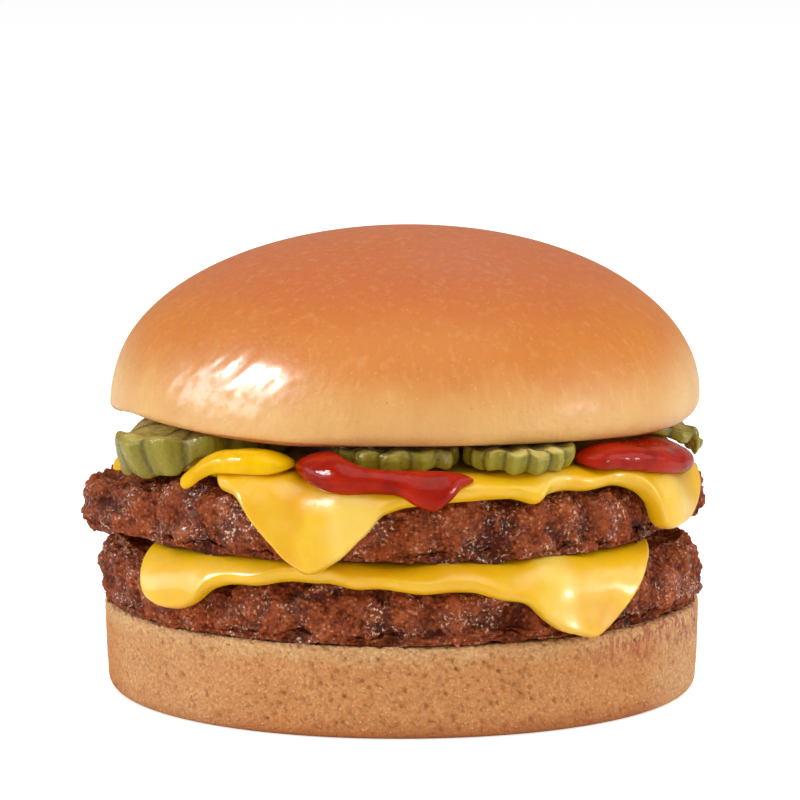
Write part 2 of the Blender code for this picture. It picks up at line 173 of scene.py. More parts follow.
# Sauce: a ribbon through stations of (bearing, inner reach, outer reach, height, level underneath)
RIBBONS = {
    "ketchup_front": (
        (-20.2, 46.0, 52.2, 3.8, 2.8), (-16, 46.0, 53.4, 4.1, 2.8), (-12.5, 47.6, 54.2, 4.1, 2.8),
        (-9.5, 50.0, 54.4, 3.7, 2.8), (-5, 51.3, 54.2, 2.7, 2.8), (-1, 51.4, 54.4, 2.3, 2.8),
        (3, 51.4, 56.2, 2.4, 2.8), (5.7, 51.4, 56.9, 2.4, 2.8), (8.5, 51.4, 55.8, 2.3, 2.8),
        (11, 51.6, 54.0, 2.0, 2.8), (13, 52.0, 53.4, 1.6, 2.8),
    ),
    "ketchup_right": (
        (36.2, 46.6, 52.4, 3.6, 2.8), (39, 46.5, 52.4, 3.7, 2.8), (43, 46.5, 52.0, 3.4, 2.8),
        (48, 46.3, 52.4, 3.3, 2.8), (56, 46.0, 53.0, 3.2, 2.8), (62, 46.0, 53.0, 3.3, 2.8),
        (67, 46.5, 53.0, 3.4, 2.8), (70.5, 48.0, 52.6, 3.2, 2.8),
    ),
    "mustard_ribbon": (
        (-43.6, 51.6, 54.4, 1.8, 0.5), (-42, 50.8, 55.4, 2.2, 0.5), (-40, 49.8, 54.8, 2.4, 0.9),
        (-37.5, 48.8, 53.8, 2.6, 2.0), (-34, 47.4, 53.0, 2.8, 2.8), (-29, 46.3, 52.8, 3.3, 2.8),
        (-24, 46.0, 52.6, 3.3, 2.8), (-20.8, 46.0, 52.2, 3.3, 2.8),
    ),
    "mustard_dab": (
        (-81.5, 47.2, 49.4, 2.2, 0.4), (-78.0, 46.6, 50.2, 2.7, 0.4), (-74.6, 47.2, 49.4, 2.2, 0.4),
    ),
}


# Curves and places

def ring_curve(points, bearing):
    """A smooth closed curve through (bearing, value) points, with no bump between them."""
    starts = np.array([point[0] for point in points] + [points[0][0] + 360.0], float)
    values = np.array([point[1] for point in points] + [points[0][1]], float)
    widths = np.diff(starts)
    along = np.diff(values) / widths
    before = np.roll(along, 1)
    product = before * along
    total = np.where(product > 0, before + along, 1.0)
    tangents = np.where(product > 0, 2 * product / total, 0.0)
    turned_to = (np.asarray(bearing, float) - starts[0]) % 360.0 + starts[0]
    here = np.clip(np.searchsorted(starts, turned_to, side="right") - 1, 0, len(widths) - 1)
    width, t = widths[here], (turned_to - starts[here]) / widths[here]
    leave, arrive = tangents[here], np.roll(tangents, -1)[here]
    return (
        (2 * t**3 - 3 * t**2 + 1) * values[here] + (t**3 - 2 * t**2 + t) * width * leave
        + (3 * t**2 - 2 * t**3) * values[here + 1] + (t**3 - t**2) * width * arrive
    )


def ease(t):
    t = np.clip(t, 0.0, 1.0)
    return t * t * (3 - 2 * t)


def bell(x):
    return np.exp(-x * x)


def place(bearing, radius, height):
    """Points in metres, as an array whose last axis is x, y, z."""
    angle = np.radians(bearing)
    shape = np.broadcast_shapes(np.shape(angle), np.shape(radius), np.shape(height))
    parts = (radius * np.sin(angle), -radius * np.cos(angle), height)
    return np.stack([np.broadcast_to(part, shape) for part in parts], axis=-1) * MM


def swell(change, bearing, reach):
    """How much higher the outer part of a patty's face lies at a bearing."""
    return ring_curve(change, bearing) * ease((reach - SWELL_START) / SWELL_LENGTH)


def lay(patty, bearing, reach, height, middle):
    """Points of a sheet on a patty: flat as far as the patty's shoulder, rolled over its edge, then
    hanging. Height is above the patty's skin, and middle is where the sheet keeps its length."""
    shoulder = ring_curve(patty.outline, bearing) - PATTY_EDGE
    top = patty.top + swell(patty.rise, bearing, reach)
    past = reach - shoulder
    quarter = math.pi / 2 * (PATTY_EDGE + middle)
    turn = np.clip(past / (PATTY_EDGE + middle), 0.0, math.pi / 2)
    out = np.where(past <= 0, past, (PATTY_EDGE + height) * np.sin(turn))
    up = (PATTY_EDGE + height) * np.cos(turn) - np.maximum(past - quarter, 0.0)
    return place(bearing, shoulder + out, top - PATTY_EDGE + up)


def rest_height(bearing, reach):
    """How high above the upper patty's skin a topping rests: on the slice, or past its edge."""
    edge = np.maximum.reduce([ring_curve(UPPER_SLICE, bearing + aside) for aside in (-3, 0, 3)])
    past = reach - edge - SINK_START
    return ON_SLICE - (ON_SLICE - GAP) * ease(past / SINK_LENGTH)


def noise_at(points, size, seed):
    """Smooth noise from about -1 to 1 at points in metres, for lumps of a size in millimetres."""
    flat = np.asarray(points, float).reshape(-1, 3) / (size * MM) + np.array(seed, float)
    values = [noise.noise(Vector(point)) for point in flat]
    return np.array(values).reshape(np.shape(points)[:-1])


# Meshes

def arc(centre, radii, start, end, steps):
    """Points (radius, height) on a quarter of an ellipse, angles in degrees up from the outward side."""
    angles = np.radians(np.linspace(start, end, steps + 1))
    return [(centre[0] + radii[0] * math.cos(a), centre[1] + radii[1] * math.sin(a)) for a in angles]


def line(start, end, steps):
    """Points (radius, height) from just after start as far as end."""
    start, end = np.array(start), np.array(end)
    return [tuple(start + (end - start) * i / steps) for i in range(1, steps + 1)]


def turned(name, profile, columns, shape):
    """A closed object turned from a profile of (radius, height) that runs down its outer side, pole to
    pole. Then shape places every point, given its radius, its bearing and its height."""
    radius, height = np.array(profile[1:-1]).T
    bearing = np.linspace(-180.0, 180.0, columns, endpoint=False)
    points = shape(radius[:, None], bearing[None, :], height[:, None])
    poles = [shape(np.full((1, 1), end[0]), np.zeros((1, 1)), np.full((1, 1), end[1])) for end in
             (profile[0], profile[-1])]
    rows = len(radius)
    first = np.arange(rows * columns).reshape(rows, columns)
    after = np.roll(first, -1, axis=1)
    quads = np.stack([first[:-1], first[1:], after[1:], after[:-1]], axis=-1).reshape(-1, 4)
    top, bottom = rows * columns, rows * columns + 1
    fans = [(top, a, b) for a, b in zip(first[0], after[0])]
    fans += [(bottom, b, a) for a, b in zip(first[-1], after[-1])]
    vertices = np.concatenate([points.reshape(-1, 3)] + [pole.reshape(-1, 3) for pole in poles])
    mesh = bpy.data.meshes.new(name)
    mesh.from_pydata(vertices.tolist(), [], quads.tolist() + fans)
    mesh.shade_smooth()
    made = bpy.data.objects.new(name, mesh)
    bpy.context.scene.collection.objects.link(made)
    return made


def paint(made, name, values):
    """Keeps a value for each point of the mesh, for its material to read."""
    attribute = made.data.attributes.new(name, "FLOAT", "POINT")
    flat = np.zeros(len(made.data.vertices), np.float32)
    flat[: values.size] = np.ravel(values)
    attribute.data.foreach_set("value", flat)


def points_of(made):
    flat = np.empty(len(made.data.vertices) * 3)
    made.data.vertices.foreach_get("co", flat)
    return flat.reshape(-1, 3)


def dress(made, node, slot, finish):
    """Makes a piece stand for its solid and gives it its finish."""
    made.data.materials.clear()
    made.data.materials.append(finish)
    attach(made, "root")
    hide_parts(node)


# Node trees

class Wiring:
    """Adds nodes to a tree and feeds each input with a value or another node's output."""

    def __init__(self, tree):
        self.tree = tree

    def feed(self, socket, value):
        if isinstance(value, bpy.types.NodeSocket):
            self.tree.links.new(value, socket)
        else:
            socket.default_value = value

    def node(self, kind, inputs=(), **settings):
        made = self.tree.nodes.new(kind)
        for name, value in settings.items():
            setattr(made, name, value)
        for name, value in dict(inputs).items():
            self.feed(made.inputs[name], value)
        return made

    def math(self, operation, *values, clamp=False):
        made = self.tree.nodes.new("ShaderNodeMath")
        made.operation, made.use_clamp = operation, clamp
        for socket, value in zip(made.inputs, values):
            self.feed(socket, value)
        return made.outputs[0]

    def vector_math(self, operation, *values):
        made = self.tree.nodes.new("ShaderNodeVectorMath")
        made.operation = operation
        for socket, value in zip(made.inputs, values):
            self.feed(socket, value)
        return made.outputs[0]

    def scaled(self, vector, factor):
        made = self.tree.nodes.new("ShaderNodeVectorMath")
        made.operation = "SCALE"
        self.feed(made.inputs[0], vector)
        self.feed(made.inputs["Scale"], factor)
        return made.outputs[0]

    def range(self, value, low, high, to_low=0.0, to_high=1.0, smooth=True):
        kind = "SMOOTHSTEP" if smooth else "LINEAR"
        inputs = {"Value": value, "From Min": low, "From Max": high, "To Min": to_low, "To Max": to_high}
        return self.node("ShaderNodeMapRange", inputs, interpolation_type=kind).outputs[0]

    def mix(self, share, first, second):
        """A colour mix, by the sockets that a mix node keeps for colours."""
        made = self.tree.nodes.new("ShaderNodeMix")
        made.data_type = "RGBA"
        self.feed(made.inputs[0], share)
        self.feed(made.inputs[6], first)
        self.feed(made.inputs[7], second)
        return made.outputs[2]

    def noise(self, vector, size, detail=2.0, rough=0.5):
        """Noise from 0 to 1 in lumps of a size in millimetres."""
        scale = self.math("DIVIDE", 1 / MM, size)
        inputs = {"Vector": vector, "Scale": scale, "Detail": detail, "Roughness": rough}
        return self.node("ShaderNodeTexNoise", inputs).outputs["Fac"]

    def cells(self, vector, size):
        """Distance to the middle of the nearest cell, for cells of a size in millimetres."""
        scale = self.math("DIVIDE", 1 / MM, size)
        return self.node("ShaderNodeTexVoronoi", {"Vector": vector, "Scale": scale}).outputs["Distance"]

    def group(self, tree, kind="ShaderNodeGroup", **inputs):
        made = self.tree.nodes.new(kind)
        made.node_tree = tree
        for name, value in inputs.items():
            self.feed(made.inputs[name.replace("_", " ")], value)
        return made.outputs


def new_tree(name, kind, inputs, outputs):
    """A node group with named inputs and outputs, each (name, socket type, default)."""
    tree = bpy.data.node_groups.new(name, kind)
    for in_out, sockets in (("INPUT", inputs), ("OUTPUT", outputs)):
        for label, socket_type, default in sockets:
            socket = tree.interface.new_socket(label, in_out=in_out, socket_type=socket_type)
            if default is not None:
                socket.default_value = default
    return Wiring(tree), tree.nodes.new("NodeGroupInput").outputs, tree.nodes.new("NodeGroupOutput").inputs


FLOAT, VECTOR = "NodeSocketFloat", "NodeSocketVector"
GEOMETRY, MATERIAL = "NodeSocketGeometry", "NodeSocketMaterial"


def patches_group():
    """Soft-edged patches: 0 between them and 1 on them."""
    wire, given, out = new_tree(
        "patches", "ShaderNodeTree",
        [("Vector", VECTOR, None), ("Size", FLOAT, 6.0), ("Share", FLOAT, 0.5), ("Softness", FLOAT, 0.1),
         ("Seed", FLOAT, 0.0)],
        [("Mask", FLOAT, None)],
    )
    away = wire.node("ShaderNodeCombineXYZ", {"X": given["Seed"], "Y": given["Seed"]}).outputs[0]
    where = wire.vector_math("ADD", given["Vector"], away)
    value = wire.noise(where, given["Size"], 4.0, 0.55)
    level = wire.math("SUBTRACT", 1.0, given["Share"])
    low = wire.math("SUBTRACT", level, given["Softness"])
    high = wire.math("ADD", level, given["Softness"])
    wire.feed(out["Mask"], wire.range(value, low, high))
    return wire.tree


def specks_group():
    """Small spots scattered over a surface: 1 in the middle of each."""
    wire, given, out = new_tree(
        "specks", "ShaderNodeTree",
        [("Vector", VECTOR, None), ("Size", FLOAT, 1.0), ("Spacing", FLOAT, 3.0)],
        [("Mask", FLOAT, None)],
    )
    wander = wire.noise(given["Vector"], given["Size"], 2.0)
    distance = wire.cells(given["Vector"], given["Spacing"])
    reach = wire.math("DIVIDE", wire.math("MULTIPLY", given["Size"], wander), given["Spacing"])
    wire.feed(out["Mask"], wire.range(distance, reach, 0.0, 0.0, 1.0))
    return wire.tree


def grain_group():
    """Fine height for bump: soft grain with shallow pits in it."""
    wire, given, out = new_tree(
        "fine_grain", "ShaderNodeTree",
        [("Vector", VECTOR, None), ("Size", FLOAT, 0.5), ("Pit Size", FLOAT, 1.5), ("Pits", FLOAT, 0.5)],
        [("Height", FLOAT, None)],
    )
    fine = wire.noise(given["Vector"], given["Size"], 5.0, 0.6)
    pits = wire.range(wire.cells(given["Vector"], given["Pit Size"]), 0.0, 0.5, 0.0, 1.0)
    deep = wire.math("MULTIPLY", wire.math("SUBTRACT", pits, 1.0), given["Pits"])
    wire.feed(out["Height"], wire.math("ADD", fine, deep))
    return wire.tree


PATCHES, SPECKS, GRAIN = patches_group(), specks_group(), grain_group()


def shown(red, green, blue):
    """A linear colour from its display values, 0 to 255."""
    parts = [value / 255 for value in (red, green, blue)]
    return (*[p / 12.92 if p <= 0.04045 else ((p + 0.055) / 1.055) ** 2.4 for p in parts], 1.0)


class Finish(Wiring):
    """A material being built: its tree, its shader and its object coordinates."""

    def __init__(self, name, **constants):
        self.material = bpy.data.materials.new(name)
        self.material.use_nodes = True
        super().__init__(self.material.node_tree)
        self.shader = self.tree.nodes["Principled BSDF"]
        for socket, value in constants.items():
            self.shader.inputs[socket.replace("_", " ")].default_value = value
        self.at = self.node("ShaderNodeTexCoord").outputs["Object"]

    def painted(self, name):
        return self.node("ShaderNodeAttribute", attribute_name=name).outputs["Fac"]

    def patches(self, size, share, softness, seed):
        return self.group(PATCHES, Vector=self.at, Size=size, Share=share, Softness=softness,
                          Seed=seed)["Mask"]

    def specks(self, size, spacing):
        return self.group(SPECKS, Vector=self.at, Size=size, Spacing=spacing)["Mask"]

    def grain(self, size, pit_size, pits):
        return self.group(GRAIN, Vector=self.at, Size=size, Pit_Size=pit_size, Pits=pits)["Height"]

    def set(self, **links):
        for name, value in links.items():
            self.feed(self.shader.inputs[name.replace("_", " ")], value)

    def bump(self, height, depth):
        """Bump whose full height is a depth in millimetres."""
        inputs = {"Height": height, "Distance": depth * MM, "Strength": 1.0}
        self.set(Normal=self.node("ShaderNodeBump", inputs).outputs["Normal"])


# Finishes

def crust_finish():
    finish = Finish("glazed_crust", Coat_Roughness=0.24, Coat_IOR=1.75, Specular_IOR_Level=0.2)
    height, pale = finish.painted("height"), finish.painted("pale")
    wander = finish.noise(finish.at, 9.0, 4.0)
    level = finish.math("ADD", height, finish.math("MULTIPLY", finish.math("SUBTRACT", wander, 0.5), 6.0))
    colour = finish.mix(finish.range(level, 2.0, 15.0), shown(230, 178, 108), shown(212, 126, 46))
    colour = finish.mix(finish.range(level, 14.0, 27.0), colour, shown(202, 108, 56))
    # Painted light: the lower flanks far to the left and right are lightened, a painted highlight from
    # grazing side light.
    colour = finish.mix(finish.range(pale, 0.0, 1.0, 0.0, 0.75), colour, shown(244, 204, 148))
    colour = finish.mix(finish.range(height, 0.5, 0.1, 0.0, 0.8), colour, shown(176, 92, 48))
    colour = finish.mix(finish.math("MULTIPLY", finish.patches(9.0, 0.45, 0.2, 3.0), 0.2), colour,
                        shown(198, 102, 42))
    streaks = finish.noise(finish.vector_math("MULTIPLY", finish.at, (1.0, 1.0, 0.22)), 1.3, 3.0)
    colour = finish.mix(finish.range(streaks, 0.5, 0.75, 0.0, 0.14), colour, shown(244, 196, 130))
    colour = finish.mix(finish.math("MULTIPLY", finish.specks(0.4, 1.5), 0.4), colour, shown(252, 216, 160))
    colour = finish.mix(finish.math("MULTIPLY", finish.specks(0.4, 2.6), 0.55), colour, shown(150, 74, 30))
    finish.set(Base_Color=colour)
    finish.set(Roughness=finish.range(finish.noise(finish.at, 2.0), 0.3, 0.7, 0.4, 0.5))
    glaze = finish.painted("glaze")
    broken = finish.range(finish.patches(2.6, 0.55, 0.12, 4.0), 0.0, 1.0, 0.35, 1.0)
    finish.set(Coat_Weight=finish.math("MULTIPLY", finish.range(glaze, 0.0, 0.8, 0.08, 1.0), broken))
    wrinkles = finish.noise(finish.vector_math("MULTIPLY", finish.at, (1.0, 1.0, 0.45)), 4.5, 3.0, 0.55)
    fine = finish.math("MULTIPLY", finish.grain(0.7, 1.8, 0.5), 0.3)
    finish.bump(finish.math("ADD", wrinkles, fine), 0.42)
    return finish.material


def crumb_finish():
    finish = Finish("toasted_crumb", Specular_IOR_Level=0.25)
    height, pit, side = finish.painted("height"), finish.painted("relief"), finish.painted("side")
    wander = finish.noise(finish.at, 6.0, 4.0)
    level = finish.math("ADD", height, finish.math("MULTIPLY", finish.math("SUBTRACT", wander, 0.5), 3.5))
    colour = finish.mix(finish.range(level, 0.3, 4.5), shown(200, 124, 68), shown(232, 164, 102))
    colour = finish.mix(finish.range(level, 11.5, 15.2), colour, shown(244, 196, 136))
    # Painted light: the heel's side is lightened at the front left and on the right, a painted highlight from
    # the side lights.
    pale = finish.painted("pale")
    colour = finish.mix(finish.range(pale, 0.0, 1.0, 0.0, 0.7), colour, shown(252, 206, 150))
    colour = finish.mix(finish.math("MULTIPLY", finish.patches(10.0, 0.5, 0.2, 8.0), 0.35), colour,
                        shown(212, 138, 76))
    crumbs = finish.grain(0.5, 0.95, -0.7)
    # Painted light: the hollows of the fine crumb are darkened as painted shade and its tips lightened as a
    # painted highlight.
    colour = finish.mix(finish.range(crumbs, 0.75, 0.35, 0.0, 0.5), colour, shown(176, 108, 58))
    colour = finish.mix(finish.range(crumbs, 0.95, 1.25, 0.0, 0.65), colour, shown(255, 222, 168))
    # Painted shade: the pores pressed into the side are darkened.
    colour = finish.mix(finish.range(pit, 0.8, 0.1, 0.0, 0.4), colour, shown(164, 96, 48))
    stain = finish.range(finish.noise(finish.vector_math("MULTIPLY", finish.at, (1.0, 1.0, 0.45)), 1.0, 3.0),
                         0.46, 0.58)
    stain = finish.math("MULTIPLY", stain, finish.math("MULTIPLY", side, finish.range(level, 7.5, 13.0)))
    colour = finish.mix(finish.math("MULTIPLY", stain, 0.7), colour, shown(178, 84, 62))
    finish.set(Base_Color=colour)
    finish.set(Roughness=finish.math("MULTIPLY", finish.range(wander, 0.3, 0.7, 0.6, 0.78),
                                     finish.range(stain, 0.0, 1.0, 1.0, 0.45)))
    finish.bump(crumbs, 0.45)
    return finish.material


def beef_finish():
    finish = Finish("seared_beef", Specular_IOR_Level=0.1, Coat_Roughness=0.12, Coat_IOR=1.5)
    relief = finish.painted("relief")
    crumbs = finish.grain(0.5, 1.1, -0.8)
    # Painted light: the colour runs from near-black in the hollows, a painted shade, through brown to pale
    # tan on the peaks, a painted highlight.
    level = finish.math("ADD", finish.math("MULTIPLY", relief, 0.75),
                        finish.math("MULTIPLY", finish.math("SUBTRACT", crumbs, 0.6), 0.6))
    colour = finish.mix(finish.range(level, 0.08, 0.45), shown(78, 27, 12), shown(164, 78, 38))
    colour = finish.mix(finish.range(level, 0.45, 0.9), colour, shown(224, 144, 98))
    colour = finish.mix(finish.math("MULTIPLY", finish.patches(7.0, 0.42, 0.12, 5.0), 0.35), colour,
                        shown(120, 46, 22))
    colour = finish.mix(finish.math("MULTIPLY", finish.patches(3.0, 0.36, 0.08, 2.0), 0.45), colour,
                        shown(198, 108, 48))
    juicy = finish.patches(5.5, 0.45, 0.1, 9.0)
    fine = finish.noise(finish.at, 0.55, 3.0)
    # Painted shade: dark flecks from fine noise stand for the shaded gaps between crumbs of mince.
    colour = finish.mix(finish.range(fine, 0.44, 0.34, 0.0, 0.65), colour, shown(66, 24, 12))
    # Pale flecks, denser in the wet patches: partly fat, partly a painted glint that stands for wet
    # reflections.
    fat = finish.math("MULTIPLY", finish.range(fine, 0.57, 0.66), finish.range(juicy, 0.0, 1.0, 0.04, 0.9))
    colour = finish.mix(fat, colour, shown(250, 212, 178))
    finish.set(Base_Color=colour)
    finish.set(Roughness=finish.range(juicy, 0.0, 1.0, 0.5, 0.3))
    finish.set(Coat_Weight=finish.math("MULTIPLY", juicy, 0.4))
    finish.bump(crumbs, 0.4)
    return finish.material


def cheese_finish():
    finish = Finish("melted_cheese", Subsurface_Weight=0.25, Subsurface_Scale=0.003,
                    Subsurface_Radius=(1.0, 0.6, 0.08), Coat_Roughness=0.2, Coat_IOR=1.6,
                    Specular_IOR_Level=0.4)
    fold = finish.painted("fold")
    colour = finish.mix(finish.patches(12.0, 0.5, 0.25, 2.0), shown(246, 196, 16), shown(238, 178, 4))
    # Painted light: raised folds and the melted hem are lightened as a painted highlight, and the hollows
    # between folds darkened as painted shade.
    colour = finish.mix(finish.range(fold, 0.2, 0.9, 0.0, 0.5), colour, shown(252, 224, 120))
    colour = finish.mix(finish.range(fold, -0.1, -0.6, 0.0, 0.7), colour, shown(238, 168, 0))
    colour = finish.mix(finish.math("MULTIPLY", finish.specks(0.4, 2.4), 0.3), colour, shown(252, 220, 120))
    finish.set(Base_Color=colour)
    finish.set(Roughness=finish.range(finish.noise(finish.at, 6.0), 0.3, 0.7, 0.28, 0.38))
    finish.set(Coat_Weight=finish.range(finish.patches(7.0, 0.5, 0.2, 6.0), 0.0, 1.0, 0.15, 0.6))
    finish.bump(finish.noise(finish.at, 3.0, 3.0), 0.16)
    return finish.material


def pickle_finish():
    finish = Finish("crinkle_cut_pickle", Subsurface_Weight=0.4, Subsurface_Scale=0.003,
                    Subsurface_Radius=(0.8, 0.8, 0.15), Specular_IOR_Level=0.3)
    rim, ridge = finish.painted("rim"), finish.painted("ridge")
    colour = finish.mix(finish.patches(5.0, 0.5, 0.2, 4.0), shown(212, 196, 120), shown(184, 166, 80))
    colour = finish.mix(finish.range(rim, 0.9, 0.97), colour, shown(142, 128, 30))
    # Painted light: the middle of each scallop panel on the rim is lightened as a painted highlight, and the
    # grooves between panels darkened as painted shade.
    edge = finish.math("MULTIPLY", finish.range(ridge, 0.8, 1.0), finish.range(rim, 0.9, 0.97))
    colour = finish.mix(finish.math("MULTIPLY", edge, 0.5), colour, shown(172, 162, 62))
    colour = finish.mix(finish.range(ridge, 0.5, 0.0, 0.0, 0.8), colour, shown(92, 80, 16))
    colour = finish.mix(finish.math("MULTIPLY", finish.specks(0.5, 1.8), 0.4), colour, shown(216, 206, 122))
    finish.set(Base_Color=colour)
    finish.set(Roughness=finish.range(finish.patches(3.0, 0.45, 0.12, 1.0), 0.0, 1.0, 0.32, 0.1))
    finish.bump(finish.noise(finish.at, 1.1, 4.0), 0.4)
    return finish.material


def sauce_finish(name, thin, thick, seed):
    finish = Finish(name, Specular_IOR_Level=0.15)
    colour = finish.mix(finish.patches(5.0, 0.5, 0.25, seed), thin, thick)
    finish.set(Base_Color=colour)
    finish.set(Roughness=finish.range(finish.noise(finish.at, 3.0), 0.3, 0.7, 0.08, 0.2))
    finish.bump(finish.noise(finish.at, 1.8, 3.0), 0.18)
    return finish.material


# Relief by Geometry Nodes

def relief_tree(name, shape_depth):
    """A tree that presses relief into a mesh where its skin value allows, and keeps it as relief:
    1 on the peaks and 0 in the hollows."""
    wire, given, out = new_tree(
        name, "GeometryNodeTree",
        [("Geometry", GEOMETRY, None), ("Coarse Size", FLOAT, 3.0), ("Coarse Depth", FLOAT, 1.0),
         ("Fine Size", FLOAT, 1.2), ("Fine Depth", FLOAT, 0.4), ("Proud", FLOAT, 0.3), ("Seed", FLOAT, 0.0),
         ("Finish", MATERIAL, None)],
        [("Geometry", GEOMETRY, None)],
    )
    position = wire.node("GeometryNodeInputPosition").outputs[0]
    away = wire.node("ShaderNodeCombineXYZ", {"X": given["Seed"], "Z": given["Seed"]}).outputs[0]
    position = wire.vector_math("ADD", position, away)
    depth, relief = shape_depth(wire, given, position)
    skin = wire.node("GeometryNodeInputNamedAttribute", {"Name": "skin"}, data_type="FLOAT").outputs[0]
    depth = wire.math("MULTIPLY", wire.math("SUBTRACT", given["Proud"], depth), MM)
    normal = wire.node("GeometryNodeInputNormal").outputs[0]
    shift = wire.scaled(normal, wire.math("MULTIPLY", depth, skin))
    # The finishes darken the kept relief's hollows as painted shade and, on the meat, lighten its peaks as a
    # painted highlight.
    kept = wire.node("GeometryNodeStoreNamedAttribute",
                     {"Geometry": given["Geometry"], "Name": "relief", "Value": relief},
                     data_type="FLOAT", domain="POINT").outputs[0]
    moved = wire.node("GeometryNodeSetPosition", {"Geometry": kept, "Offset": shift}).outputs[0]
    real = wire.node("GeometryNodeRealizeInstances", {"Geometry": moved}).outputs[0]
    dressed = wire.node("GeometryNodeSetMaterial", {"Geometry": real, "Material": given["Finish"]}).outputs[0]
    wire.feed(out["Geometry"], dressed)
    return wire.tree


def ground_meat(wire, given, position):
    """Packed strands of mince with crumbs between them."""
    warp = wire.node("ShaderNodeTexNoise", {"Vector": position, "Scale": 1 / (4.0 * MM), "Detail": 2.0})
    bend = wire.scaled(wire.vector_math("SUBTRACT", warp.outputs["Color"], (0.5, 0.5, 0.5)), 4.0 * MM)
    bent = wire.vector_math("ADD", position, bend)
    coarse = wire.math("POWER", wire.cells(bent, given["Coarse Size"]), 1.5)
    middling = wire.math("POWER", wire.cells(bent, wire.math("MULTIPLY", given["Coarse Size"], 0.5)), 1.4)
    fine = wire.math("POWER", wire.cells(bent, given["Fine Size"]), 1.2)
    crumbs = wire.noise(position, 0.9, 3.0, 0.6)
    deep = wire.math("MULTIPLY", wire.math("ADD", coarse, wire.math("MULTIPLY", middling, 0.6)),
                     given["Coarse Depth"])
    shallow = wire.math("MULTIPLY", wire.math("ADD", fine, crumbs), given["Fine Depth"])
    depth = wire.math("ADD", deep, shallow)
    full = wire.math("ADD", wire.math("MULTIPLY", given["Coarse Depth"], 1.2),
                     wire.math("MULTIPLY", given["Fine Depth"], 1.6))
    relief = wire.math("SUBTRACT", 1.0, wire.math("DIVIDE", depth, full), clamp=True)
    return depth, relief


def crumb_pores(wire, given, position):
    """Open pores of two sizes in baked crumb."""
    spread = wire.noise(position, 8.0, 2.0)
    coarse = wire.range(wire.cells(position, given["Coarse Size"]), 0.05, 0.42, 1.0, 0.0)
    fine = wire.range(wire.cells(position, given["Fine Size"]), 0.1, 0.45, 1.0, 0.0)
    coarse = wire.math("MULTIPLY", coarse, wire.range(spread, 0.3, 0.55, 0.35, 1.0))
    pits = wire.math("MAXIMUM", coarse, wire.math("MULTIPLY", fine, 0.5))
    deep = wire.math("MULTIPLY", coarse, given["Coarse Depth"])
    shallow = wire.math("MULTIPLY", fine, given["Fine Depth"])
    grit = wire.math("MULTIPLY", wire.noise(position, 0.9, 3.0, 0.6), given["Fine Depth"])
    depth = wire.math("ADD", wire.math("ADD", deep, shallow), grit)
    return depth, wire.math("SUBTRACT", 1.0, pits)


def applied(made, tree, **inputs):
    """Replaces the object's mesh with what a Geometry Nodes tree makes of it."""
    modifier = made.modifiers.new("nodes", "NODES")
    modifier.node_group = tree
    names = {item.name: item.identifier for item in tree.interface.items_tree if item.in_out == "INPUT"}
    for name, value in inputs.items():
        modifier[names[name.replace("_", " ")]] = value
    bpy.context.view_layer.update()
    result = bpy.data.meshes.new_from_object(made.evaluated_get(bpy.context.evaluated_depsgraph_get()))
    made.modifiers.clear()
    made.data = result
    result.name = made.name
    result.shade_smooth()


# Bun

def uneven(radius, bearing, height, seed):
    """Soft unevenness of the bun, as a change of radius."""
    points = place(bearing, radius, height)
    return BUN_UNEVENNESS * noise_at(points, BUN_LUMP_SIZE, (seed, 0, 0)) * ease(radius / HEEL_RADIUS)


def heel(finish, tree):
    foot = HEEL_RADIUS - HEEL_DRAFT
    rim = (HEEL_RADIUS - HEEL_RIM, HEEL_HEIGHT)
    middle = (HEEL_RADIUS - HEEL_DRAFT * 0.3, HEEL_HEIGHT * 0.5)
    profile = [(0, HEEL_HEIGHT)] + line((0, HEEL_HEIGHT), (40, HEEL_HEIGHT), 8)
    profile += line(profile[-1], rim, 24)
    profile += arc((rim[0], HEEL_HEIGHT - HEEL_RIM), (HEEL_RIM, HEEL_RIM), 80, 0, 5)
    profile += line(profile[-1], middle, 20) + line(middle, (foot, HEEL_CORNER), 14)
    profile += arc((foot - HEEL_CORNER, HEEL_CORNER), (HEEL_CORNER, HEEL_CORNER), -6, -90, 14)
    profile += line(profile[-1], (30, 0), 12) + [(0, 0)]

    def shape(radius, bearing, height):
        points = place(bearing, radius + uneven(radius, bearing, height, 3.0), height)
        return points + np.array((HEEL_SHIFT, 0, 0)) * MM

    made = turned("heel_crumb", profile, HEEL_COLUMNS, shape)
    points = points_of(made) / MM
    radius = np.hypot(points[:, 0], points[:, 1])
    paint(made, "height", points[:, 2])
    turn = np.degrees(np.arctan2(points[:, 0], -points[:, 1]))
    paint(made, "side", ease((turn - 34) / 12) * ease((92 - turn) / 14))
    # Painted light: where the heel's side gets a painted highlight from the side lights, at the front left
    # and on the right.
    pale_left = 0.5 * ease((-turn - 20) / 25) * ease((turn + 78) / 15)
    pale_right = 1.3 * ease((turn - 48) / 22) * ease((176 - turn) / 60)
    paint(made, "pale", pale_left + pale_right)
    paint(made, "skin", ease((radius - 36) / 8) * ease(points[:, 2] / 2.5))
    applied(made, tree, Coarse_Size=1.7, Coarse_Depth=0.6, Fine_Size=1.0, Fine_Depth=0.4, Proud=0.35,
            Seed=3.0, Finish=finish)
    dress(made, "heel", "bun_crumb", finish)


